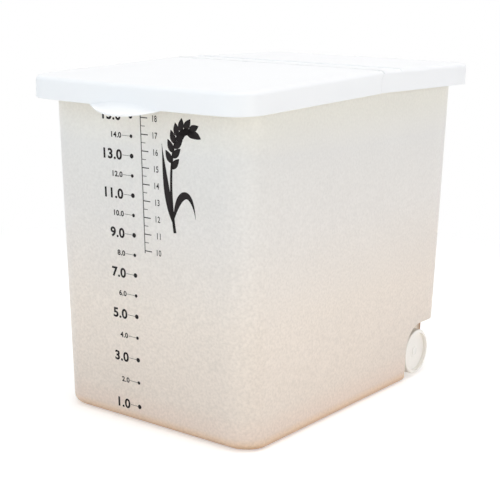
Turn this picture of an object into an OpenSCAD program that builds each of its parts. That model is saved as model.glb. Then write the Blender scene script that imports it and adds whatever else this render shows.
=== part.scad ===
// Rice bin with a two-part lid: the front part of the lid flips up on a hinge
// and the bin rolls on two small wheels set into its rear bottom corners.
// Millimetres. The bin stands on z = 0, its front faces -y, and x runs across it.

/* [Tub] */
// Width of the tub where it meets the floor
floor_w = 209; // [190:1:230]
// Depth of the tub where it meets the floor
floor_d = 311; // [290:1:330]
// How far each side wall leans out by the time it reaches the mouth
side_draft = 5; // [3:0.5:7]
// How far the front wall leans out by the time it reaches the mouth
front_draft = 17; // [12:0.5:20]
// How far the back wall leans out by the time it reaches the mouth
back_draft = 13; // [8:0.5:16]
// Radius of the upright front corners at the floor
floor_r = 22.5; // [15:0.5:24]
// Radius of the upright rear corners at the floor
floor_back_r = 17.5; // [15:0.5:24]
// Radius of the upright corners at the mouth
mouth_r = 29; // [24:0.5:34]
// Thickness of the walls
wall = 2.2; // [1.8:0.1:2.8]
// Rounding where the side and back walls turn under into the base
foot_r = 5; // [3:0.5:6]
// Rounding where the front wall turns under into the base
front_foot_r = 9; // [6:0.5:12]

/* [Lid] */
// Height of the whole bin, up to the raised panel of the rear cover
height = 304.5; // [290:0.5:320]
// Width of the lid over both skirts
lid_w = 234; // [230:1:240]
// Depth of the lid without its finger tab
lid_d = 370.5; // [366:0.5:376]
// How far the lid stands out behind the tub's back wall
back_overhang = 11; // [9:0.5:12]
// Thickness of the lid's plate and skirt
lid_t = 2; // [1.6:0.1:2.4]
// Height of the skirt that hangs round the lid's edge
skirt_h = 20; // [18:0.5:22]
// How much shorter the skirt is at the front than at the hinge
skirt_taper = 1.2; // [0:0.1:2]
// How far the flip lid falls from the hinge to its front edge
front_drop = 8.7; // [6:0.1:11]
// How far the rear cover's raised panel stands above the flip lid
crown = 0.5; // [0.3:0.1:1]
// Distance from the lid's rear edge to the front of the raised panel
crown_from_back = 137; // [125:1:145]
// Plan radius of the lid's front corners
lid_front_r = 23; // [18:1:26]
// Plan radius of the lid's rear corners
lid_back_r = 18; // [12:1:22]
// How far the middle of the front edge bows forward
bow = 4.5; // [2:0.5:6]
// Rounding along the lid's top edge
edge_r = 4; // [3:0.5:5]
// Bevel along the skirt's lower edge
skirt_bevel = 0.5; // [0.2:0.1:0.8]

/* [Finger tab] */
// Width of the flared tab under the front skirt
tab_w = 78; // [60:1:90]
// How far the tab flares forward of the skirt
tab_reach = 12; // [8:0.5:14]
// How far the tab hangs below the skirt
tab_hang = 6.5; // [4:0.5:8]
// How far up the skirt the flare begins
tab_rise = 6.5; // [4:0.5:8]

/* [Hinge] */
// Distance from the lid's rear edge to the hinge line
hinge_from_back = 171.5; // [165:0.5:178]
// Radius of the hinge barrel on the flip lid
barrel_r = 3; // [2.6:0.1:3.4]
// Radius of the hinge pin moulded between the barrels
pin_r = 1.6; // [1.4:0.1:1.8]
// Running clearance round every pin
fit = 0.06; // [0.03:0.01:0.1]
// Number of snap clips that hold the flip lid
clips = 4; // [3:1:6]

/* [Wheels] */
// Radius of each wheel
wheel_r = 22.1; // [19:0.1:23]
// Width of each wheel across its tread
wheel_w = 13; // [10:0.5:14]
// Height of the wheel's underside above the floor
wheel_lift = 2; // [0.5:0.1:3]
// Distance from the tub's floor centre back to the axle
axle_back = 119; // [116:0.5:122]
// Radius of the axle pins
axle_r = 3; // [2.5:0.1:3.5]

/* [Hidden] */
$fn = 64;

// Plan positions, front to back. The whole bin is centred on y = 0.
lid_back = (lid_d + tab_reach) / 2;
lid_front = lid_back - lid_d + bow;
hinge_y = lid_back - hinge_from_back;
crown_y = lid_back - crown_from_back;
plate_z = height - crown;
mouth_z = 284.5;
mouth_back = lid_back - back_overhang;
floor_back = mouth_back - back_draft;
floor_front = floor_back - floor_d;
mouth_front = floor_front - front_draft;
mouth_w = floor_w + 2 * side_draft;
fall = front_drop / (hinge_y - lid_front);
foot_fall = (front_drop - skirt_taper) / (hinge_y - lid_front);

// Rim of the tub
rim_gap = 0.4;
skirt_gap = 0.7;
flange_t = 2;
lip_t = 1.8;
lip_h = 10;

// Base of the tub
base_t = 3.8;
panel_recess = 1.6;
panel_margin = 18;
heel_rise = 22;
heel_r = 4;
cavity_r = 6;

// Wheels and the arches that they sit in
axle_y = (floor_front + floor_back) / 2 + axle_back;
axle_z = wheel_r + wheel_lift;
wheel_face_x = floor_w / 2 - 0.3;
arch_x = wheel_face_x - wheel_w - 3.3;
arch_r = wheel_r + 3.4;
arch_z = axle_z + 3.8;
heel_y = axle_y - arch_r + 4;
boss_r = 6.5;
boss_depth = 13;
boss_stand = 2.4;
hub_r = 6.5;
hub_stand = 0.5;
wheel_rim_r = wheel_r - 3.2;
wheel_web_t = 2.2;
wheel_web_z = wheel_w - 5.6;
wheel_rib_t = 1.8;
head_r = 4;
head_h = 1.8;

// Hinge
hinge_z = plate_z - barrel_r;
groove = barrel_r + 1.3;
barrel_span = mouth_w - 2 * wall - 2;
hinge_gap = 0.3;
clip_w = 6;
clip_mouth = 2.4;
clip_pitch = (barrel_span - 30) / (clips - 1);
ledge_t = 1.8;
ledge_drop = barrel_r + 0.5;
relief = 2;
gate_r = 3;
gate_h = 0.5;
nose_x = lid_w / 2 - lid_t - 0.4;

// Ribs inside the lid
rib_in = wall + 2;
rib_t = 1.6;
rib_h = 7;
stiffener_x = 52;
stiffener_t = 1.4;
stiffener_h = 3;

// Steps along curved outlines
corner_steps = 12;
front_steps = 10;
round_steps = 5;
foot_steps = 7;
right_hinge = 2 * (corner_steps + 1) + front_steps;

// Height of the lid's top face at a place from front to back, under the raised panel
function lid_top(y) = plate_z - fall * max(0, hinge_y - y);

// Height of the skirt's lower edge there
function skirt_foot(y) = plate_z - skirt_h - foot_fall * max(0, hinge_y - y);

// Height of the tub's rim under it
function rim_top(y) = lid_top(y) - lid_t - rim_gap;

// Quarter circle of plan points
function corner(cx, cy, r, from) =
    [for (i = [0:corner_steps])
        let (a = from + 90 * i / corner_steps)
        [cx + r * cos(a), cy + r * sin(a)]];

// Rounded plan outline, anticlockwise from the hinge line on the left
function plan(w, front, back, rf, rb, bow = 0) =
    let (
        front_edge = concat(
            corner(-w / 2 + rf, front + rf, rf, 180),
            [for (i = [1:front_steps - 1]) [-w / 2 + rf + (w - 2 * rf) * i / front_steps, front]],
            corner(w / 2 - rf, front + rf, rf, 270)))
    concat(
        [[-w / 2, hinge_y]],
        [for (p = front_edge) [p.x, p.y - bow * (1 - pow(2 * p.x / w, 2))]],
        [[w / 2, hinge_y]],
        corner(w / 2 - rb, back - rb, rb, 0),
        corner(-w / 2 + rb, back - rb, rb, 90));

// Lid outline drawn in by some distance
function lid_plan(inset) =
    plan(lid_w - 2 * inset, lid_front + inset, lid_back - inset,
         lid_front_r - inset, lid_back_r - min(inset, lid_back_r - 3), bow);

// Tub outlines at the floor and at the mouth, drawn in by some distance
function floor_plan(inset) =
    plan(floor_w - 2 * inset, floor_front + inset, floor_back - inset,
         floor_r - inset, floor_back_r - inset);
function mouth_plan(inset) =
    plan(mouth_w - 2 * inset, mouth_front + inset, mouth_back - inset,
         mouth_r - inset, mouth_r - inset);

// Ring of points on the tub's wall at one height
function wall_ring(inset, z) =
    let (low = floor_plan(inset), high = mouth_plan(inset))
    [for (i = [0:len(low) - 1])
        let (p = low[i] + (high[i] - low[i]) * z / mouth_z)
        [p.x, p.y, z]];

// Ring of points on the tub's wall, some distance below the rim
function rim_wall_ring(inset, drop) =
    let (low = floor_plan(inset), high = mouth_plan(inset))
    [for (i = [0:len(low) - 1])
        let (z = rim_top(high[i].y) - drop, p = low[i] + (high[i] - low[i]) * z / mouth_z)
        [p.x, p.y, z]];

// Ring of points on the lid's outline, some distance below its top face
function lid_ring(inset, drop) =
    [for (p = lid_plan(inset)) [p.x, p.y, lid_top(p.y) - drop]];

// Ring of points inside the mouth, some distance below the lid's top face
function rib_ring(inset, drop) =
    [for (p = mouth_plan(inset)) [p.x, p.y, lid_top(p.y) - drop]];

// Solid skinned over rings of equally many points, lowest ring first. Both ends
// fold along the hinge line, so each is closed by a front and a rear face.
module skin(rings) {
    n = len(rings[0]);
    last = (len(rings) - 1) * n;
    front = [for (i = [0:right_hinge]) i];
    rear = [for (i = [right_hinge:n]) i % n];
    sides = [for (k = [0:len(rings) - 2], i = [0:n - 1])
        let (a = k * n + i, b = k * n + (i + 1) % n)
        each [[a, a + n, b + n], [a, b + n, b]]];
    ends = [
        front,
        rear,
        [for (i = [len(front) - 1:-1:0]) last + front[i]],
        [for (i = [len(rear) - 1:-1:0]) last + rear[i]]];
    polyhedron(points = [for (r = rings) each r], faces = concat(sides, ends), convexity = 6);
}

// Flat shape in the side view, extruded across the bin from x0 to x1
module across(x0, x1) {
    translate([x0, 0, 0])
        rotate([90, 0, 90])
            linear_extrude(x1 - x0)
                children();
}

// Rod along x from x0 to x1
module rod(r, x0, x1, y, z) {
    translate([x0, y, z])
        rotate([0, 90, 0])
            cylinder(h = x1 - x0, r = r);
}

module both_sides() {
    children();
    mirror([1, 0, 0])
        children();
}

// Ring of points on the rounding under the walls, at an angle from the floor. The
// rounding widens from the side walls to the front wall as it passes each corner.
function foot_ring(a) =
    let (
        low = floor_plan(0),
        inner = floor_plan(front_foot_r),
        high = mouth_plan(0))
    [for (i = [0:len(low) - 1])
        let (
            ahead = max(0, 1 - (low[i].y - floor_front) / floor_r),
            r = foot_r + (front_foot_r - foot_r) * ahead,
            z = r * (1 - cos(a)),
            p = low[i] + (inner[i] - low[i]) * r * (1 - sin(a)) / front_foot_r
                + (high[i] - low[i]) * z / mouth_z)
        [p.x, p.y, z]];

// Outer skin of the tub with its rim flange and downturned lip
module tub_outside() {
    lip_in = lid_t + skirt_gap;
    skin(concat(
        [for (i = [0:foot_steps])
            foot_ring(90 * i / foot_steps)],
        [rim_wall_ring(0, flange_t),
         [for (p = lid_plan(lip_in + lip_t)) [p.x, p.y, rim_top(p.y) - flange_t]],
         [for (p = lid_plan(lip_in + lip_t)) [p.x, p.y, rim_top(p.y) - lip_h]],
         [for (p = lid_plan(lip_in)) [p.x, p.y, rim_top(p.y) - lip_h]],
         [for (p = lid_plan(lip_in)) [p.x, p.y, rim_top(p.y) - 1]],
         [for (p = lid_plan(lip_in + 1)) [p.x, p.y, rim_top(p.y)]]]));
}

// Space inside the tub, open past the rim
module tub_inside() {
    skin(concat(
        [for (i = [0:round_steps])
            let (a = 90 * i / round_steps)
            wall_ring(wall + cavity_r * (1 - sin(a)), base_t + cavity_r * (1 - cos(a)))],
        [wall_ring(wall, height + 10)]));
}

// Side view of a wheel arch: round over the wheel, open to the rear and the floor
module arch_outline(grow = 0) {
    back = floor_back + 30;
    translate([axle_y, arch_z])
        circle(arch_r + grow);
    translate([axle_y - arch_r - grow, -10])
        square([back - axle_y, arch_z + 10]);
    translate([axle_y, -10])
        square([back - axle_y, arch_z + arch_r + grow + 10]);
}

// Side view of the waste outside the arch's rounded lower front corner
module arch_foot() {
    translate([axle_y - arch_r - heel_r, heel_r])
        difference() {
            translate([0, -2 * heel_r])
                square([heel_r + 1, 2 * heel_r]);
            circle(heel_r);
        }
}

// Side view of the heel, where the base rises so that the bin can tip onto its wheels
module heel_outline(grow = 0) {
    far = floor_back + 20;
    slope = heel_rise / (floor_back - heel_y);
    polygon([
        [heel_y - grow, -1],
        [far, -1],
        [far, slope * (far - heel_y) + grow],
        [heel_y - grow / 2, grow]]);
}

// Blind socket for an axle pin, standing inside the tub off the arch's wall
module axle_boss() {
    rod(boss_r, arch_x - boss_depth, arch_x, axle_y, axle_z);
}

// Waste outside the rounded rear corner of the heel, which leans with the back wall
module heel_corner() {
    lean = atan(back_draft / mouth_z);
    translate([arch_x - heel_r, floor_back - heel_r, 0])
        rotate([-lean, 0, 0])
            translate([0, 0, -10])
                linear_extrude(arch_z + arch_r + 9.4)
                    difference() {
                        square(2 * heel_r);
                        circle(heel_r);
                    }
}

module bin_body() {
    color("#e4dfd6", 0.7)
        difference() {
            union() {
                difference() {
                    tub_outside();
                    difference() {
                        tub_inside();
                        across(-floor_w, floor_w)
                            heel_outline(base_t);
                        both_sides() {
                            across(arch_x - wall, floor_w)
                                arch_outline(wall);
                            axle_boss();
                        }
                    }
                    both_sides() {
                        across(arch_x, floor_w) {
                            arch_outline();
                            arch_foot();
                        }
                        heel_corner();
                    }
                    across(-arch_x - 1, arch_x + 1)
                        heel_outline();
                    base_recess();
                }
                both_sides()
                    rod(boss_r, arch_x - 1, arch_x + boss_stand, axle_y, axle_z);
            }
            both_sides()
                rod(axle_r, arch_x - boss_depth + 3, arch_x + boss_stand + 1, axle_y, axle_z);
        }
}

// Shallow panel in the underside that leaves a foot all round, and the small round
// mark of the moulding gate at its middle
module base_recess() {
    w = floor_w - 2 * panel_margin;
    front = floor_front + panel_margin;
    back = heel_y - panel_margin / 2;
    r = 8;
    difference() {
        translate([0, 0, -1])
            linear_extrude(panel_recess + 1) {
                translate([-w / 2 + r, front])
                    square([w - 2 * r, back - front]);
                translate([-w / 2, front + r])
                    square([w, back - front - 2 * r]);
                for (x = [-w / 2 + r, w / 2 - r], y = [front + r, back - r])
                    translate([x, y])
                        circle(r);
            }
        translate([0, (front + back) / 2, panel_recess - gate_h])
            cylinder(h = 1, r = gate_r);
    }
}

// Both halves of the lid as one tray, before the hinge line parts them
module lid_tray() {
    difference() {
        skin(concat(
            [[for (p = lid_plan(skirt_bevel)) [p.x, p.y, skirt_foot(p.y)]],
             [for (p = lid_plan(0)) [p.x, p.y, skirt_foot(p.y) + skirt_bevel]]],
            [for (i = [0:round_steps])
                let (a = 90 * i / round_steps)
                lid_ring(edge_r * (1 - cos(a)), edge_r * (1 - sin(a)))]));
        skin(concat(
            [lid_ring(lid_t, skirt_h + 1)],
            [for (i = [0:round_steps])
                let (a = 90 * i / round_steps, r = edge_r - lid_t)
                lid_ring(lid_t + r * (1 - cos(a)), lid_t + r * (1 - sin(a)))]));
    }
}

// Rib under the lid that drops just inside the tub's mouth
module locating_rib() {
    difference() {
        skin([rib_ring(rib_in, lid_t + rib_h), rib_ring(rib_in, lid_t / 2)]);
        skin([rib_ring(rib_in + rib_t, lid_t + rib_h + 1), rib_ring(rib_in + rib_t, -5)]);
    }
}

// Low ribs from front to back that stiffen the lid's plate
module stiffeners(y0, y1) {
    for (x = [-stiffener_x, 0, stiffener_x])
        across(x - stiffener_t / 2, x + stiffener_t / 2)
            polygon([
                [y0, lid_top(y0) - lid_t - stiffener_h],
                [y1, lid_top(y1) - lid_t - stiffener_h],
                [y1, lid_top(y1) - lid_t / 2],
                [y0, lid_top(y0) - lid_t / 2]]);
}

// Box that spans the bin from front to back between two y values
module slab(y0, y1, z0 = -1, z1 = 400) {
    translate([-lid_w, y0, z0])
        cube([2 * lid_w, y1 - y0, z1 - z0]);
}

// Side view of the hole that the flip lid's barrel needs to turn in
module groove_outline() {
    translate([hinge_y - 60, hinge_z - barrel_r - 60])
        square([60 + hinge_gap, 120 + barrel_r]);
    translate([hinge_y, hinge_z])
        circle(barrel_r + hinge_gap);
    translate([hinge_y - 1, hinge_z])
        square([groove + 1, 30]);
}

// Place of each clip along the hinge
function clip_x(i) = (i - (clips - 1) / 2) * clip_pitch;

// Snap clip: a ring round the pin, open at the top, on a web down to the ledge
module clip() {
    difference() {
        union() {
            rod(barrel_r, -clip_w / 2, clip_w / 2, hinge_y, hinge_z);
            translate([-clip_w / 2, hinge_y - barrel_r, hinge_z - ledge_drop - 0.5])
                cube([clip_w, 2 * barrel_r, ledge_drop + 0.5]);
        }
        rod(pin_r + fit, -clip_w, clip_w, hinge_y, hinge_z);
        translate([-clip_w, hinge_y - clip_mouth / 2, hinge_z])
            cube([2 * clip_w, clip_mouth, barrel_r + 1]);
    }
}

// Top of the rear cover behind a low step across it
module raised_panel() {
    intersection() {
        translate([0, 0, crown])
            lid_tray();
        slab(crown_y, lid_back + 1);
    }
}

module rear_cover() {
    color("white") {
        difference() {
            union() {
                intersection() {
                    union() {
                        lid_tray();
                        raised_panel();
                    }
                    slab(hinge_y, lid_back + 1, height - skirt_h);
                }
                intersection() {
                    locating_rib();
                    slab(hinge_y + groove, lid_back);
                }
            }
            across(-lid_w, lid_w)
                groove_outline();
        }
        // Wall and ledge that carry the clips and close the gap under the barrel
        translate([-barrel_span / 2, hinge_y + groove, hinge_z - ledge_drop - ledge_t])
            cube([barrel_span, lid_t, ledge_drop + ledge_t + barrel_r - 1]);
        translate([-barrel_span / 2, hinge_y - barrel_r - 1, hinge_z - ledge_drop - ledge_t])
            cube([barrel_span, barrel_r + groove + 2, ledge_t]);
        for (i = [0:clips - 1])
            translate([clip_x(i), 0, 0])
                clip();
        stiffeners(hinge_y + groove + lid_t / 2, mouth_back - rib_in - rib_t / 2);
    }
}

// Round gaps that the clips reach through, cut close about the hinge
module clip_windows() {
    half = clip_w / 2 + hinge_gap;
    for (i = [0:clips - 1])
        rod(barrel_r + hinge_gap, clip_x(i) - half, clip_x(i) + half, hinge_y, hinge_z);
}

// Point along a curve that leaves a towards b and reaches c
function bend(a, b, c, t) = (1 - t) * (1 - t) * a + 2 * t * (1 - t) * b + t * t * c;

// Flared tab that a finger hooks under, widest at the middle of the front skirt
module finger_tab() {
    steps = 20;
    curve = 6;
    lip = 1.7;
    root = lid_t / 2;
    reach = tab_reach + root;
    edge = skirt_foot(lid_front);
    // Cross-section at u, from -1 to 1 across the tab, rooted halfway into the skirt:
    // along the upper face to the tip and back underneath
    function section(u) =
        let (
            k = 1 - u * u,
            x = u * tab_w / 2,
            face = lid_front - bow * (1 - pow(2 * x / lid_w, 2)),
            upper = [for (i = [0:curve])
                bend([0, tab_rise], [-tab_reach / 3, -tab_hang * 0.6], [-reach, lip - tab_hang], i / curve)],
            lower = [for (i = [0:curve])
                bend([0.4 - reach, -tab_hang], [-tab_reach / 3, -tab_hang], [0, 0], i / curve)])
        [for (p = concat(upper, lower)) [x, face + root + p.x * k, edge + 0.3 + p.y * k]];
    rings = [for (i = [0:steps]) section(-0.98 + 1.96 * i / steps)];
    n = len(rings[0]);
    sides = [for (k = [0:steps - 1], i = [0:n - 1])
        let (a = k * n + i, b = k * n + (i + 1) % n)
        each [[a, a + n, b + n], [a, b + n, b]]];
    polyhedron(
        points = [for (r = rings) each r],
        faces = concat(sides, [[for (i = [0:n - 1]) i], [for (i = [n - 1:-1:0]) steps * n + i]]),
        convexity = 4);
}

module flip_lid() {
    color("white") {
        difference() {
            union() {
                intersection() {
                    lid_tray();
                    union() {
                        slab(lid_front - 50, hinge_y);
                        // Skirt ends rounded about the hinge
                        both_sides()
                            rod(barrel_r, nose_x, lid_w, hinge_y, hinge_z);
                    }
                }
                intersection() {
                    locating_rib();
                    slab(lid_front, hinge_y - barrel_r - 6);
                }
                rod(barrel_r, -barrel_span / 2, barrel_span / 2, hinge_y, hinge_z);
            }
            clip_windows();
            // Relief that lets the plate's rear edge turn down past the tub's rim
            both_sides()
                translate([barrel_span / 2, hinge_y - relief, hinge_z - 1])
                    cube([nose_x - barrel_span / 2, relief + 1, 10]);
        }
        rod(pin_r, -barrel_span / 2 + 1, barrel_span / 2 - 1, hinge_y, hinge_z);
        finger_tab();
        stiffeners(mouth_front + rib_in + rib_t / 2, hinge_y - 2 * barrel_r);
    }
}

// Half-section of a wheel: r along x, width along y, outer face uppermost
module wheel_outline() {
    edge = 1.5;
    bore = axle_r + fit;
    translate([wheel_rim_r, 0])
        square([wheel_r - wheel_rim_r - edge, wheel_w]);
    translate([wheel_rim_r, edge])
        square([wheel_r - wheel_rim_r, wheel_w - 2 * edge]);
    for (z = [edge, wheel_w - edge])
        translate([wheel_r - edge, z])
            circle(edge);
    translate([bore + 1, wheel_web_z])
        square([wheel_rim_r - bore, wheel_web_t]);
    translate([bore, -hub_stand])
        square([hub_r - bore, wheel_w - head_h - 0.3 + hub_stand]);
}

// Wheel standing on its inner face, axle along z
module wheel() {
    ribs = 6;
    rotate_extrude($fn = 96)
        wheel_outline();
    for (i = [0:ribs - 1])
        rotate([0, 0, i * 360 / ribs])
            translate([hub_r - 0.5, -wheel_rib_t / 2, 1])
                cube([wheel_rim_r - hub_r + 1, wheel_rib_t, wheel_web_z]);
}

// Stands a part made along z out to the right, its foot at x
module to_right(x) {
    translate([x, axle_y, axle_z])
        rotate([0, 90, 0])
            children();
}

module wheel_right() {
    color("#f4f4f2")
        to_right(wheel_face_x - wheel_w)
            wheel();
}

module wheel_left() {
    color("#f4f4f2")
        mirror([1, 0, 0])
            to_right(wheel_face_x - wheel_w)
                wheel();
}

// Axle pin with a domed head, its shank along z
module axle_pin() {
    length = wheel_face_x - head_h - (arch_x - boss_depth + 3);
    dome_r = 8;
    cylinder(h = length, r = axle_r);
    translate([0, 0, length])
        intersection() {
            cylinder(h = head_h, r = head_r);
            translate([0, 0, head_h - dome_r])
                sphere(dome_r);
        }
}

module axle_pin_right() {
    color("#d8d8d6")
        to_right(arch_x - boss_depth + 3)
            axle_pin();
}

module axle_pin_left() {
    color("#d8d8d6")
        mirror([1, 0, 0])
            to_right(arch_x - boss_depth + 3)
                axle_pin();
}

bin_body();
rear_cover();
flip_lid();
wheel_left();
wheel_right();
axle_pin_left();
axle_pin_right();
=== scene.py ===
import math

import bmesh
import bpy
import numpy as np
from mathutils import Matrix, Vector


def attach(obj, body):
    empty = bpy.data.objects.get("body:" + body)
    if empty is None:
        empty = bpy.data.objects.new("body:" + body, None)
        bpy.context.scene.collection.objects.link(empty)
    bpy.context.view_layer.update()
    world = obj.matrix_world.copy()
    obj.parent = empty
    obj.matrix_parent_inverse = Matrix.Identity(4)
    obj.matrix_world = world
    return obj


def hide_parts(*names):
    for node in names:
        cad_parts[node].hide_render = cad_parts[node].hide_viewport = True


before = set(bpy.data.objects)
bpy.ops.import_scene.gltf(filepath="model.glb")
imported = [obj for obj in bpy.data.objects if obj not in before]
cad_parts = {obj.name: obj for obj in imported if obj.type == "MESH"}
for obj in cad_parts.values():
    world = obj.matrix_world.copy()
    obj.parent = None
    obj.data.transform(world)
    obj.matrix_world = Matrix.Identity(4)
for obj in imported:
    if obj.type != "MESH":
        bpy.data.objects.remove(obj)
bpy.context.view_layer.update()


# Tub: natural polypropylene, injection moulded in one piece with its rim, foot, heel
# and wheel arches. The walls are 2.2 mm thick and frosted, so light soaks through
# them. The foot's warmer tone is partly its thicker plastic and partly painted warm
# floor bounce and shade.

def linear(hex_colour):
    """Linear RGBA of an sRGB hex colour: each channel through the sRGB curve."""
    rgb = np.array([int(hex_colour[i:i + 2], 16) for i in (1, 3, 5)]) / 255
    curve = np.where(rgb <= 0.04045, rgb / 12.92, ((rgb + 0.055) / 1.055) ** 2.4)
    return (*curve.tolist(), 1.0)


def add(tree, kind, settings=(), values=(), links=()):
    """Adds a node, sets its properties and sockets, and links sockets into it."""
    node = tree.nodes.new(kind)
    for name, value in dict(settings).items():
        setattr(node, name, value)
    for socket, value in dict(values).items():
        node.inputs[socket].default_value = value
    for socket, source in dict(links).items():
        tree.links.new(source, node.inputs[socket])
    return node


def new_material(name):
    """An empty node material and its tree."""
    material = bpy.data.materials.new(name)
    material.use_nodes = True
    material.node_tree.nodes.clear()
    return material, material.node_tree


# Points this close, in metres, are one point, and edges that turn more than this are sharp
same_place = 1e-6
sharp_turn = math.radians(28)


def moulded_copy(node, name, material, body):
    """A copy of a CAD node, its doubles merged and its rounded faces shaded smooth."""
    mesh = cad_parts[node].data.copy()
    build = bmesh.new()
    build.from_mesh(mesh)
    bmesh.ops.remove_doubles(build, verts=build.verts, dist=same_place)
    build.to_mesh(mesh)
    build.free()
    piece = bpy.data.objects.new(name, mesh)
    bpy.context.collection.objects.link(piece)
    mesh.materials.clear()
    mesh.materials.append(material)
    if mesh.has_custom_normals:
        with bpy.context.temp_override(object=piece, active_object=piece,
                                       selected_objects=[piece]):
            bpy.ops.mesh.customdata_custom_splitnormals_clear()
    mesh.shade_smooth()
    mesh.set_sharp_from_angle(angle=sharp_turn)
    flats = piece.modifiers.new("flat faces stay flat", "WEIGHTED_NORMAL")
    flats.weight = 100
    flats.keep_sharp = True
    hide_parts(node)
    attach(piece, body)
    return piece


# Natural polypropylene, frosted by the etched mould: a milky, satin wall
frosted, tree = new_material("frosted_natural_polypropylene")
place = add(tree, "ShaderNodeTexCoord").outputs["Object"]
axes = add(tree, "ShaderNodeSeparateXYZ", links={0: place})
height = axes.outputs["Z"]
# The tones run from the floor to this many millimetres up
tones_top = 300
rise = add(tree, "ShaderNodeMapRange", values={"From Min": 0.0, "From Max": tones_top / 1000},
           links={"Value": height}).outputs["Result"]
# Tones of the wall up from the floor, in millimetres, with painted light in them: amber where
# the foot turns under, partly the thicker plastic and partly painted warm floor bounce and
# shade, then paler, with a painted warm brightening near the rim
tones = ((0, "#cb9b6d"), (2.5, "#e4bc93"), (6, "#fae0c8"), (11, "#fbeade"), (30, "#faefe5"),
         (100, "#fff6ed"), (180, "#faf7f4"), (240, "#f6f5f3"), (270, "#fcfaf2"))
painted_light_ramp = add(tree, "ShaderNodeValToRGB", links={"Fac": rise})
stops = painted_light_ramp.color_ramp.elements
stops.remove(stops[1])
stops[0].color = linear(tones[0][1])
for up, colour in tones[1:]:
    stops.new(up / tones_top).color = linear(colour)
# The base inside the foot is a single thin wall again, so it is paler than the foot. In
# metres: the middle of the plan, the foot's inner edges to the side and to front and
# back, and the width over which the tone changes
plan_middle_y = 0.01175
foot_inner_x, foot_inner_y, foot_blend = 0.099, 0.15, 0.006
from_middle = add(tree, "ShaderNodeMath", {"operation": "ABSOLUTE"},
                  links={0: axes.outputs["X"]}).outputs[0]
behind_middle = add(tree, "ShaderNodeMath", {"operation": "SUBTRACT"}, {1: plan_middle_y},
                    {0: axes.outputs["Y"]}).outputs[0]
along_middle = add(tree, "ShaderNodeMath", {"operation": "ABSOLUTE"},
                   links={0: behind_middle}).outputs[0]
in_foot = add(tree, "ShaderNodeMapRange",
              values={"From Min": 0.013, "From Max": 0.025, "To Min": 1.0, "To Max": 0.0},
              links={"Value": height}).outputs["Result"]
for distance, foot_inner in ((from_middle, foot_inner_x), (along_middle, foot_inner_y)):
    inside = add(tree, "ShaderNodeMapRange",
                 values={"From Min": foot_inner, "From Max": foot_inner - foot_blend},
                 links={"Value": distance}).outputs["Result"]
    in_foot = add(tree, "ShaderNodeMath", {"operation": "MULTIPLY"},
                  links={0: in_foot, 1: inside}).outputs[0]
# The wall's tones carry painted light: bounce and shade at the foot, brightening near the rim
wall_tone_with_painted_light = add(tree, "ShaderNodeMix", {"data_type": "RGBA"}, {"B": linear("#f4e6d6")},
                {"A": painted_light_ramp.outputs["Color"], "Factor": in_foot}).outputs[2]
# Flow of the melt: clouds some 60 mm across
clouds = add(tree, "ShaderNodeTexNoise", values={"Scale": 16.0, "Detail": 2.0},
             links={"Vector": place})
cloud_tone = add(tree, "ShaderNodeMapRange",
                 values={"From Min": 0.35, "From Max": 0.65, "To Min": 0.985, "To Max": 1.0},
                 links={"Value": clouds.outputs["Fac"]}).outputs["Result"]
# Etched grain: really about 0.3 mm, drawn 2.2 mm so that it shows, and stronger low down
grain = add(tree, "ShaderNodeTexNoise", values={"Scale": 450.0, "Detail": 2.0},
            links={"Vector": place})
darkest = add(tree, "ShaderNodeMapRange",
              values={"From Min": 0.1, "From Max": 0.25, "To Min": 0.86, "To Max": 0.93},
              links={"Value": height}).outputs["Result"]
grain_tone = add(tree, "ShaderNodeMapRange",
                 values={"From Min": 0.3, "From Max": 0.7, "To Max": 1.0},
                 links={"Value": grain.outputs["Fac"], "To Min": darkest}).outputs["Result"]
tone = add(tree, "ShaderNodeMath", {"operation": "MULTIPLY"},
           links={0: cloud_tone, 1: grain_tone}).outputs[0]
mottled = add(tree, "ShaderNodeVectorMath", {"operation": "SCALE"},
              links={0: wall_tone_with_painted_light, "Scale": tone}).outputs[0]
# Inside the wheel arches the heel's wall stands on edge to the light: its shade is painted,
# browner at its rear edge. The arch's space is a least and a most, in metres, for
# the distance from the middle, the way back and the height
arch_space = ((from_middle, 0.083, 0.0925), (axes.outputs["Y"], 0.1, 0.1668),
              (height, 0.0, 0.0532))
within = [add(tree, "ShaderNodeMath", {"operation": operation}, {1: limit},
              {0: axis}).outputs[0]
          for axis, least, most in arch_space
          for operation, limit in (("GREATER_THAN", least), ("LESS_THAN", most))]
in_arch = within[0]
for side_of_space in within[1:]:
    in_arch = add(tree, "ShaderNodeMath", {"operation": "MULTIPLY"},
                  links={0: in_arch, 1: side_of_space}).outputs[0]
rearward = add(tree, "ShaderNodeMapRange", values={"From Min": 0.158, "From Max": 0.165},
               links={"Value": axes.outputs["Y"]}).outputs["Result"]
arch_painted_shade = add(tree, "ShaderNodeMix", {"data_type": "RGBA"},
                {"A": linear("#e2d7c7"), "B": linear("#a8743f")},
                {"Factor": rearward}).outputs[2]
plastic = add(tree, "ShaderNodeMix", {"data_type": "RGBA"},
              links={"A": mottled, "B": arch_painted_shade, "Factor": in_arch}).outputs[2]
relief = add(tree, "ShaderNodeBump", values={"Strength": 0.25, "Distance": 0.0001},
             links={"Height": grain.outputs["Fac"]}).outputs["Normal"]
shader = add(tree, "ShaderNodeBsdfPrincipled",
             values={"Roughness": 0.32, "IOR": 1.49, "Transmission Weight": 0.2},
             links={"Base Color": plastic, "Normal": relief})
add(tree, "ShaderNodeOutputMaterial", links={"Surface": shader.outputs["BSDF"]})

tub = moulded_copy("bin_body", "tub", frosted, "tub")

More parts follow.
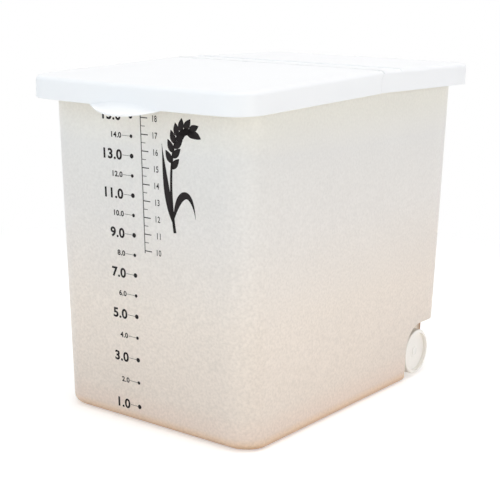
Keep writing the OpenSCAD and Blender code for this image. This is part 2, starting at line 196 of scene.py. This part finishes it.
# Wheel arch, in metres: the axle, the arch's inner wall from the middle, its round's
# radius and centre height, the rounding at its foot, and the gap taken off at its front
axle_y, axle_z = 0.13075, 0.0241
arch_x, arch_r, arch_z, arch_foot_r = 0.0879, 0.0255, 0.0279, 0.004
arch_gap_less = 0.0019
near_outline, near_wall = 2e-4, 1e-4


def points_of(mesh):
    """The places of a mesh's points, one row each."""
    place = np.empty(3 * len(mesh.vertices))
    mesh.vertices.foreach_get("co", place)
    return place.reshape(-1, 3)


def put_points(mesh, place):
    """Gives a mesh's points new places."""
    mesh.vertices.foreach_set("co", place.ravel())
    mesh.update()


# The arch's front edge closes in on the wheel: the points of its outline, round over
# the wheel and straight below, move back by the gap times how far ahead they are
place = points_of(tub.data)
ahead = axle_y - place[:, 1]
up = place[:, 2]
outline = np.where(up > arch_z, np.hypot(ahead, up - arch_z), ahead)
on_outline = (ahead > 0) & (np.abs(outline - arch_r) < near_outline)
on_foot = ((up < arch_foot_r + near_outline) & (ahead > arch_r - near_outline)
           & (ahead < arch_r + arch_foot_r + near_outline))
moves = (np.abs(place[:, 0]) > arch_x - near_wall) & (on_outline | on_foot)
place[:, 1] += np.where(moves, arch_gap_less * np.clip(ahead / arch_r, 0, 1), 0)
put_points(tub.data, place)


# Scale: dark ink, pad printed on the flat of the tub's front wall. Each mark stands
# for one more kilogram of rice, 1.2 litres, so the marks follow the tub's volume.

# In millimetres: how far the ink's back and front stand above the wall's face, and the
# front wall's height, its y at the floor and how far it leans out for each one up
ink_back = -0.02
ink_front = 0.05
wall_height = 284.5
wall_foot_y = -143.75
wall_lean = 17 / wall_height


def on_front_wall(across, up, out):
    """Metres on the tub's front wall: y is the wall's y at that height, less the height
    above the wall along its outward normal. All arguments are millimetres."""
    slant = math.hypot(1, wall_lean)
    y = wall_foot_y - wall_lean * up - out / slant
    z = up - out * wall_lean / slant
    return np.stack([across, y, z], -1) / 1000


def printed(name, points, faces, material):
    """A closed print on the wall that rides on the tub."""
    mesh = bpy.data.meshes.new(name)
    mesh.from_pydata(points.tolist(), [], faces.tolist())
    mesh.materials.append(material)
    piece = bpy.data.objects.new(name, mesh)
    bpy.context.collection.objects.link(piece)
    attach(piece, "tub")
    return piece


def ribbons(paths, half_widths):
    """Flat strokes of ink as points and faces. At each point of a path the stroke
    reaches its half width to both sides, along the path's normal, and its four corners
    there, left and right on the front and the back, join those of the next point. Four
    corners close each end."""
    along = np.gradient(paths, axis=1)
    along = along / np.linalg.norm(along, axis=2, keepdims=True)
    side = np.stack([-along[..., 1], along[..., 0]], -1) * half_widths[..., None]
    left, right = paths + side, paths - side
    corners = np.stack([left, right, right, left], 2)
    out = np.broadcast_to([ink_front, ink_front, ink_back, ink_back], corners.shape[:3])
    points = on_front_wall(corners[..., 0], corners[..., 1], out).reshape(-1, 3)
    strokes, steps = paths.shape[:2]
    start = (np.arange(strokes)[:, None] * steps + np.arange(steps - 1)) * 4
    corner = np.arange(4)
    ring = start[..., None] + corner
    following = start[..., None] + (corner + 1) % 4
    walls = np.stack([ring, following, following + 4, ring + 4], -1).reshape(-1, 4)
    first = np.arange(strokes)[:, None] * steps * 4 + corner
    last = first + (steps - 1) * 4
    return points, np.concatenate([walls, first[:, ::-1], last])


# Pad printing ink: nearly black with a brown cast, thinner here and there
ink, tree = new_material("pad_printed_ink")
place = add(tree, "ShaderNodeTexCoord").outputs["Object"]
# Patches where the ink lies thinner, about 2 mm across
cover = add(tree, "ShaderNodeTexNoise", values={"Scale": 500.0, "Detail": 3.0},
            links={"Vector": place})
ink_tone = add(tree, "ShaderNodeMix", {"data_type": "RGBA"},
               {"A": linear("#0e0709"), "B": linear("#1b1315")},
               {"Factor": cover.outputs["Fac"]}).outputs[2]
shader = add(tree, "ShaderNodeBsdfPrincipled",
             values={"Roughness": 0.6, "Specular IOR Level": 0.25},
             links={"Base Color": ink_tone})
add(tree, "ShaderNodeOutputMaterial", links={"Surface": shader.outputs["BSDF"]})

# Kilograms of rice up to each height: each millimetre holds more, the higher it is,
# because the walls lean out. The terms go with the height to the power 0, 1, 2 and 3
held_terms = (0.334, 0.041775, 7.45e-5, -9.563e-8)
level = np.linspace(0, wall_height, 1000)
held = sum(term * level ** power for power, term in enumerate(held_terms))
kilograms = np.arange(1, 16)
mark_up = np.interp(kilograms, held, level)
odd = kilograms % 2 == 1
# The row of marks stands left of the middle and leans right by a hair
mark_foot_x, mark_lean, figure_gap = -13.2, 0.0095, 10.8
mark_x = mark_foot_x + mark_lean * mark_up
figure_end = mark_x - figure_gap

# Dots at the marks, large for odd kilograms: strokes as wide as a circle is there, cut
# off a hair before it closes to a point
cut_off = 0.02
turn = np.linspace(cut_off, math.pi - cut_off, 21)
dot_r = np.where(odd, 2.0, 1.5)[:, None]
dot_x = mark_x[:, None] - dot_r * np.cos(turn)
dots = np.stack(np.broadcast_arrays(dot_x, mark_up[:, None]), -1)
printed("scale_dots", *ribbons(dots, dot_r * np.sin(turn)), ink)

# Leaders from the figures to the dots
leader_x = np.stack([figure_end + 0.7, mark_x - 1], -1)
leader_half_width = 0.17
leaders = np.stack(np.broadcast_arrays(leader_x, mark_up[:, None]), -1)
printed("scale_leaders",
        *ribbons(leaders, np.full(leaders.shape[:2], leader_half_width)), ink)

# Points of a letter this close, in its own units, are one point
same_corner = 1e-5


def figures(name, words, ends, ups, height, weight, width=0.8):
    """Upright figures set flush right at the given ends. Each label is a filled outline
    of that cap height, its strokes swollen by the weight and its width scaled. Its own
    depth, from -0.5 to 0.5, becomes the ink's."""
    parts, faces, count = [], [], 0
    for word, end, up in zip(words, ends, ups):
        text = bpy.data.curves.new(name, "FONT")
        text.body = word
        text.offset = weight
        text.extrude = 0.5
        text.fill_mode = "BOTH"
        text.resolution_u = 8
        text.space_character = 1.06
        holder = bpy.data.objects.new(name, text)
        bpy.context.collection.objects.link(holder)
        graph = bpy.context.evaluated_depsgraph_get()
        mesh = bpy.data.meshes.new_from_object(holder.evaluated_get(graph))
        build = bmesh.new()
        build.from_mesh(mesh)
        bmesh.ops.remove_doubles(build, verts=build.verts, dist=same_corner)
        bmesh.ops.triangulate(build, faces=build.faces)
        build.to_mesh(mesh)
        build.free()
        place = points_of(mesh)
        corner = np.empty(3 * len(mesh.polygons), dtype=int)
        mesh.polygons.foreach_get("vertices", corner)
        scale = height / np.ptp(place[:, 1])
        across = (place[:, 0] - place[:, 0].max()) * scale * width + end
        high = (place[:, 1] - place[:, 1].min() - np.ptp(place[:, 1]) / 2) * scale + up
        out = ink_back + (place[:, 2] + 0.5) * (ink_front - ink_back)
        parts.append(on_front_wall(across, high, out))
        faces.append(corner.reshape(-1, 3) + count)
        count += len(place)
        bpy.data.objects.remove(holder)
        bpy.data.curves.remove(text)
        bpy.data.meshes.remove(mesh)
    return printed(name, np.concatenate(parts), np.concatenate(faces), ink)


labels = np.array(["%d.0" % k for k in kilograms])
figures("scale_figures_odd", labels[odd], figure_end[odd], mark_up[odd],
        height=8.8, weight=0.032, width=1.09)
figures("scale_figures_even", labels[~odd], figure_end[~odd], mark_up[~odd],
        height=4.8, weight=0.031, width=1.08)

# Litre scale beside the kilograms: an upright line with a tick at each half litre,
# longer and bolder at the whole ones
litres_a_kilogram = 1.2
litres = np.arange(10, 18.01, 0.5)
litre_up = np.interp(litres / litres_a_kilogram, held, level)
whole = litres % 1 == 0
tick_end = np.where(whole, 7.5, 4.5)
tick_half_width = np.where(whole, 0.4, 0.25)
ticks = np.stack([np.stack([np.zeros(len(litres)), tick_end], -1),
                  np.stack([litre_up, litre_up], -1)], -1)
printed("litre_ticks", *ribbons(ticks, np.stack([tick_half_width, tick_half_width], -1)), ink)
past_ticks, line_half_width = 2, 0.4
spine = np.array([[[0.0, litre_up[0] - past_ticks], [0.0, litre_up[-1] + past_ticks]]])
printed("litre_line", *ribbons(spine, np.full((1, 2), line_half_width)), ink)
litre_labels = ["%d" % litre for litre in litres[whole]]
litre_figure_end = 17.5
figures("litre_figures", litre_labels, np.full(whole.sum(), litre_figure_end), litre_up[whole],
        height=5.2, weight=0.012)


def curve(points, t):
    """Points along a cubic curve: each control point weighted by its Bernstein term."""
    a, b, c, d = (np.array(p, dtype=float) for p in points)
    t = np.asarray(t)[..., None]
    return (1 - t) ** 3 * a + 3 * t * (1 - t) ** 2 * b + 3 * t ** 2 * (1 - t) * c + t ** 3 * d


# Ear of rice, in millimetres on the wall: a bending stalk that thins to its tip
stalk = ((33, 176), (27, 215), (31, 270), (52, 260))
step = np.linspace(0, 1, 40)
stalk_path = curve(stalk, step)[None]
printed("ear_stalk", *ribbons(stalk_path, (1.5 - 0.9 * step)[None]), ink)

# Grains along the upper stalk, set off it to either side in turn. Each bows a little
# towards the stalk, and the last goes straight on
seat = np.linspace(0.42, 1.0, 15)
seat_nudge = 0.01
grain_spread, grain_bow, grain_stand_off = 0.62, 0.1, 0.9
root = curve(stalk, seat)
ahead = curve(stalk, seat + seat_nudge) - curve(stalk, seat - seat_nudge)
heading = np.arctan2(ahead[:, 1], ahead[:, 0])
hand = np.where(np.arange(len(seat)) % 2, 1.0, -1.0)
hand[-1] = 0
grain_turn = heading + hand * grain_spread
grain_step = np.linspace(0, 1, 13)
grain_length = 13 - 2.5 * seat
reach = grain_length[:, None] * grain_step
grain_root = root + grain_stand_off * np.stack([np.cos(grain_turn), np.sin(grain_turn)], -1)
bend = hand[:, None] * grain_bow * reach * (1 - grain_step)
kernels = grain_root[:, None] + np.stack([
    reach * np.cos(grain_turn)[:, None] + bend * np.sin(grain_turn)[:, None],
    reach * np.sin(grain_turn)[:, None] - bend * np.cos(grain_turn)[:, None]], -1)
swell = 0.05 + 2.9 * np.sin(math.pi * grain_step ** 0.8) ** 0.9
printed("ear_grains", *ribbons(kernels, np.broadcast_to(swell, reach.shape)), ink)

# Two blades that spring from the foot of the stalk
blades = np.stack([curve(((32, 182), (26, 202), (24, 222), (22, 248)), step),
                   curve(((32, 186), (38, 214), (52, 216), (55, 190)), step)])
blade_width = 0.1 + 3.0 * np.sin(math.pi * step ** 0.75) ** 1.2
printed("ear_blades", *ribbons(blades, np.broadcast_to(blade_width, blades.shape[:2])), ink)


# Lid: white polypropylene in two mouldings. The rear cover presses over the tub's rim
# and carries clips, and the front part turns in them on a pin moulded along its edge.

# White polypropylene with a fine satin face, a shade cool
white, tree = new_material("white_polypropylene")
place = add(tree, "ShaderNodeTexCoord").outputs["Object"]
# Slow ripples of the moulding, some 45 mm apart, and a satin grain drawn 0.8 mm
ripple = add(tree, "ShaderNodeTexNoise", values={"Scale": 22.0, "Detail": 1.0},
             links={"Vector": place})
satin = add(tree, "ShaderNodeTexNoise", values={"Scale": 1250.0, "Detail": 2.0},
            links={"Vector": place})
plate_tone = add(tree, "ShaderNodeMix", {"data_type": "RGBA"},
                 {"A": linear("#edeff2"), "B": linear("#f0f2f5")},
                 {"Factor": ripple.outputs["Fac"]}).outputs[2]
# The finger tab flares out and faces the light more than the skirt: its extra brightness is
# painted light
skirt_front_y, tab_bright_y = -0.1797, -0.1825
way_back = add(tree, "ShaderNodeSeparateXYZ", links={0: place}).outputs["Y"]
tab_painted_light = add(tree, "ShaderNodeMapRange",
             values={"From Min": skirt_front_y, "From Max": tab_bright_y},
             links={"Value": way_back}).outputs["Result"]
white_tone = add(tree, "ShaderNodeMix", {"data_type": "RGBA"}, {"B": linear("#f4f5f7")},
                 {"A": plate_tone, "Factor": tab_painted_light}).outputs[2]
gloss = add(tree, "ShaderNodeMapRange",
            values={"From Min": 0.3, "From Max": 0.7, "To Min": 0.34, "To Max": 0.42},
            links={"Value": satin.outputs["Fac"]}).outputs["Result"]
waves = add(tree, "ShaderNodeBump", values={"Strength": 0.3, "Distance": 0.0004},
            links={"Height": ripple.outputs["Fac"]}).outputs["Normal"]
relief = add(tree, "ShaderNodeBump", values={"Strength": 0.15, "Distance": 0.00005},
             links={"Height": satin.outputs["Fac"], "Normal": waves}).outputs["Normal"]
shader = add(tree, "ShaderNodeBsdfPrincipled", values={"IOR": 1.49},
             links={"Base Color": white_tone, "Roughness": gloss, "Normal": relief})
add(tree, "ShaderNodeOutputMaterial", links={"Surface": shader.outputs["BSDF"]})

moulded_copy("rear_cover", "lid_rear", white, "cover")
moulded_copy("flip_lid", "lid_front", white, "lid")


# Wheels: off-white polypropylene, moulded with a raised rim, a thin web and a hub, and
# turning on pins in the tub's arches. The treads pick up a little floor dust.

# Off-white polypropylene, satin from the mould: a soft face with fine scuffs, drawn 3 mm
roller, tree = new_material("off_white_wheel_polypropylene")
place = add(tree, "ShaderNodeTexCoord").outputs["Object"]
from_axle = add(tree, "ShaderNodeMapping",
                values={"Location": (0, -axle_y, -axle_z), "Scale": (0, 1, 1)},
                links={"Vector": place}).outputs[0]
radius = add(tree, "ShaderNodeVectorMath", {"operation": "LENGTH"},
             links={0: from_axle}).outputs["Value"]
scuffs = add(tree, "ShaderNodeTexNoise", values={"Scale": 300.0, "Detail": 4.0},
             links={"Vector": place})
rolled = add(tree, "ShaderNodeMapRange", values={"From Min": 0.0211, "From Max": 0.0221},
             links={"Value": radius}).outputs["Result"]
dust = add(tree, "ShaderNodeMath", {"operation": "MULTIPLY"},
           links={0: rolled, 1: scuffs.outputs["Fac"]}).outputs[0]
clean = add(tree, "ShaderNodeMix", {"data_type": "RGBA"},
            {"A": linear("#f6f4f1"), "B": linear("#e6e2da")}, {"Factor": dust}).outputs[2]
# The rim's inner wall, 18.9 mm from the axle, is darker: painted shade of the recess
past_web = add(tree, "ShaderNodeMath", {"operation": "GREATER_THAN"}, {1: 0.0187},
               {0: radius}).outputs[0]
short_of_rim = add(tree, "ShaderNodeMath", {"operation": "LESS_THAN"}, {1: 0.019},
                   {0: radius}).outputs[0]
rim_wall_painted_shade = add(tree, "ShaderNodeMath", {"operation": "MULTIPLY"},
                 links={0: past_web, 1: short_of_rim}).outputs[0]
wheel_tone = add(tree, "ShaderNodeMix", {"data_type": "RGBA"}, {"B": linear("#ece9e3")},
                 {"A": clean, "Factor": rim_wall_painted_shade}).outputs[2]
relief = add(tree, "ShaderNodeBump", values={"Strength": 0.2, "Distance": 0.0001},
             links={"Height": scuffs.outputs["Fac"]}).outputs["Normal"]
shader = add(tree, "ShaderNodeBsdfPrincipled", values={"Roughness": 0.4, "IOR": 1.49},
             links={"Base Color": wheel_tone, "Normal": relief})
add(tree, "ShaderNodeOutputMaterial", links={"Surface": shader.outputs["BSDF"]})

# In metres: the web's outer face and the hub's top from the middle, and the hub's reach
# round the axle
web_x, hub_top_x, hub_reach = 0.1008, 0.1021, 0.0066


def settled(piece, beyond, was_x, now_x, rise=0.0, outside=math.inf, narrow=1.0):
    """Lowers what stands round the axle. A point further from the middle than beyond
    goes to now_x plus rise times how far it stood past was_x. Where it is also outside
    a radius round the axle, it draws in towards the axle by the factor narrow."""
    place = points_of(piece.data)
    out = np.abs(place[:, 0])
    around = place[:, 1:] - (axle_y, axle_z)
    far = np.hypot(around[:, 0], around[:, 1])
    proud = (out > beyond) & (far < hub_reach)
    lowered = now_x + (out - was_x) * rise
    place[:, 0] = np.where(proud, np.sign(place[:, 0]) * lowered, place[:, 0])
    drawn = (proud & (far > outside))[:, None]
    place[:, 1:] = np.where(drawn, (axle_y, axle_z) + around * narrow, place[:, 1:])
    put_points(piece.data, place)


# The hub is low and narrow: its flat top stands 0.3 mm over the web
for side in ("left", "right"):
    wheel = moulded_copy("wheel_" + side, "roller_" + side, roller, side + "_wheel")
    settled(wheel, beyond=0.1015, was_x=hub_top_x, now_x=web_x + 0.0003, outside=0.005,
            narrow=0.85)


# Axle pins: natural acetal, moulded with a domed head. Each is pressed into a boss in
# its arch, and its head keeps the wheel on.

# Natural acetal, smooth from the mould: waxy white, with flow streaks about 1 mm wide
acetal, tree = new_material("natural_acetal")
place = add(tree, "ShaderNodeTexCoord").outputs["Object"]
streaks = add(tree, "ShaderNodeTexNoise", values={"Scale": 900.0, "Detail": 3.0},
              links={"Vector": place})
pin_tone = add(tree, "ShaderNodeMix", {"data_type": "RGBA"},
               {"A": linear("#f6f5f2"), "B": linear("#fbfaf8")},
               {"Factor": streaks.outputs["Fac"]}).outputs[2]
shader = add(tree, "ShaderNodeBsdfPrincipled", values={"Roughness": 0.25, "IOR": 1.48},
             links={"Base Color": pin_tone})
add(tree, "ShaderNodeOutputMaterial", links={"Surface": shader.outputs["BSDF"]})

# The head's base stands 0.6 mm over the web, and its dome is drawn half as high
for side in ("left", "right"):
    pin = moulded_copy("axle_pin_" + side, "axle_" + side, acetal, "tub")
    settled(pin, beyond=0.1022, was_x=0.1024, now_x=web_x + 0.0006, rise=0.5)


# Studio: white paper under the bin, which shows white and keeps the bin's soft shadow,
# an even white surround, and softboxes above, above the front, in front, to the right,
# and a small one low at the front corner.

# White paper, matt: it lights itself a little where it is seen, so that it shows white
paper, tree = new_material("white_paper")
path = add(tree, "ShaderNodeLightPath")
seen = add(tree, "ShaderNodeMath", {"operation": "MAXIMUM"},
           links={0: path.outputs["Is Camera Ray"],
                  1: path.outputs["Is Glossy Ray"]}).outputs[0]
lift = add(tree, "ShaderNodeMath", {"operation": "MULTIPLY"}, {1: 0.42}, {0: seen}).outputs[0]
sheet_tone = add(tree, "ShaderNodeMix", {"data_type": "RGBA"},
                 {"A": linear("#fffaf4"), "B": linear("#f4f4f4")}, {"Factor": seen}).outputs[2]
matt = add(tree, "ShaderNodeBsdfDiffuse", links={"Color": sheet_tone})
glow = add(tree, "ShaderNodeEmission", links={"Strength": lift})
near = add(tree, "ShaderNodeAddShader", links={0: matt.outputs[0], 1: glow.outputs[0]})
# Well away from the bin the sheet shows as plain white, so that its edge doesn't show
place = add(tree, "ShaderNodeTexCoord").outputs["Object"]
from_bin = add(tree, "ShaderNodeVectorMath", {"operation": "LENGTH"},
               links={0: place}).outputs["Value"]
away = add(tree, "ShaderNodeMapRange", {"interpolation_type": "SMOOTHSTEP"},
           {"From Min": 0.35, "From Max": 0.8, "To Min": 0.0, "To Max": 1.0},
           {"Value": from_bin}).outputs["Result"]
fade = add(tree, "ShaderNodeMath", {"operation": "MULTIPLY"},
           links={0: away, 1: seen}).outputs[0]
far = add(tree, "ShaderNodeEmission", values={"Color": (1, 1, 1, 1), "Strength": 1.0})
sheet = add(tree, "ShaderNodeMixShader", links={0: fade, 1: near.outputs[0], 2: far.outputs[0]})
add(tree, "ShaderNodeOutputMaterial", links={"Surface": sheet.outputs[0]})

floor_half, floor_z = 1.2, -0.0004
floor_corners = [(x * floor_half, y * floor_half, floor_z)
                 for x, y in ((-1, -1), (1, -1), (1, 1), (-1, 1))]
floor_mesh = bpy.data.meshes.new("floor")
floor_mesh.from_pydata(floor_corners, [], [(0, 1, 2, 3)])
floor_mesh.materials.append(paper)
floor = bpy.data.objects.new("floor", floor_mesh)
bpy.context.collection.objects.link(floor)

# The surround lights the bin more from the sides than from above, and shows plain white
world = bpy.data.worlds.new("studio")
bpy.context.scene.world = world
world.use_nodes = True
tree = world.node_tree
tree.nodes.clear()
path = add(tree, "ShaderNodeLightPath")
seen = add(tree, "ShaderNodeMath", {"operation": "MAXIMUM"},
           links={0: path.outputs["Is Camera Ray"],
                  1: path.outputs["Is Glossy Ray"]}).outputs[0]
through = add(tree, "ShaderNodeMath", {"operation": "MAXIMUM"},
              links={0: seen, 1: path.outputs["Is Transmission Ray"]}).outputs[0]
direction = add(tree, "ShaderNodeTexCoord").outputs["Generated"]
up = add(tree, "ShaderNodeSeparateXYZ", links={0: direction}).outputs["Z"]
soft = add(tree, "ShaderNodeMapRange",
           values={"From Min": 0.0, "From Max": 0.8, "To Min": 1.235, "To Max": 0.15},
           links={"Value": up}).outputs["Result"]
surround = add(tree, "ShaderNodeBackground", values={"Color": linear("#f3f8ff")},
               links={"Strength": soft})
page = add(tree, "ShaderNodeBackground", values={"Color": (1, 1, 1, 1), "Strength": 1.0})
mixed = add(tree, "ShaderNodeMixShader",
            links={0: through, 1: surround.outputs[0], 2: page.outputs[0]})
add(tree, "ShaderNodeOutputWorld", links={"Surface": mixed.outputs[0]})


def softbox(name, place, target, width, height, watts, colour="#ffffff"):
    """A rectangular lamp turned towards a point."""
    lamp = bpy.data.lights.new(name, "AREA")
    lamp.shape = "RECTANGLE"
    lamp.size = width
    lamp.size_y = height
    lamp.energy = watts
    lamp.color = linear(colour)[:3]
    holder = bpy.data.objects.new(name, lamp)
    bpy.context.collection.objects.link(holder)
    towards = Vector(target) - Vector(place)
    holder.rotation_euler = towards.to_track_quat("-Z", "Y").to_euler()
    holder.location = place
    return holder


# The lamp above isn't reflected, or the lid would wash out when seen from above
overhead = softbox("overhead", (0.2, 0.0, 2.0), (0, 0, 0.3), 1.4, 1.4, 24.2, "#fff8f2")
overhead.visible_glossy = False
softbox("front_top", (-0.3, -1.6, 1.6), (0, 0, 0.2), 1.0, 1.0, 4.9, "#e8fffd")
softbox("front_fill", (-0.5, -2.2, 0.25), (0, 0, 0.2), 1.2, 0.5, 3.2)
softbox("right_window", (2.1, -0.5, 0.3), (0, 0, 0.2), 0.8, 0.6, 5.6, "#fff8e4")
softbox("corner_strip", (0.535, -0.5525, 0.05), (0.1, -0.15, 0.2), 0.06, 0.1, 0.08)

# Light passes the frosted wall many times before it leaves the tub
cycles = bpy.context.scene.cycles
cycles.max_bounces = 32
cycles.diffuse_bounces = 16
cycles.glossy_bounces = 8
cycles.transmission_bounces = 32

# Camera: its focal length is 1202.04 pixels of a frame 500 wide
focal_pixels, frame_pixels, sensor_mm = 1202.04, 500, 36
camera_data = bpy.data.cameras.new("camera")
camera_data.sensor_width = sensor_mm
camera_data.lens = focal_pixels / frame_pixels * sensor_mm
camera_data.shift_x = -0.00995
camera_data.shift_y = -0.0376
camera = bpy.data.objects.new("camera", camera_data)
bpy.context.collection.objects.link(camera)
camera.location = (0.64642, -0.88094, 0.37111)
camera.rotation_euler = [math.radians(a) for a in (78.561, -1.2576, 36.5426)]
bpy.context.scene.camera = camera
bpy.context.scene.view_settings.view_transform = "Standard"
